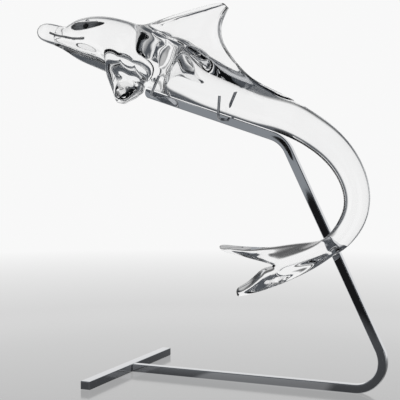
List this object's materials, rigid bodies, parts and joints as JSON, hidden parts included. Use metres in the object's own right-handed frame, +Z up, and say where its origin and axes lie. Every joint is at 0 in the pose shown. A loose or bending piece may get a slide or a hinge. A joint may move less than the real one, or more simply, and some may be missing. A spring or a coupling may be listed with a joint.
{
  "type": "crystal dolphin figurine on a stand",
  "caption": "Clear hot-worked crystal dolphin resting on the rising arm of a chromed bent-bar stand, its tail curled under and past the post.",
  "frame": {"origin": "on the ground, under the middle of the whole piece's length and width", "axes": "+Z up; +X along the stand's long bar, from the cross bar at the foot towards the lower bend, so the dolphin swims towards -X; +Y along the cross bar, away from the side on which the tail passes the post"},
  "size_m": [0.4572, 0.22, 0.4517],
  "materials": {
    "crystal": "clear, flame polished",
    "chromed_bar": "bright plated",
    "chromed_wire": "bright plated"
  },
  "bodies": {
    "root": {"crystal_dolphin": "crystal", "bent_bar": "chromed_bar", "foot_crossbar": "chromed_bar", "front_cradle": "chromed_wire", "rear_cradle": "chromed_wire"}
  },
  "joints": []
}
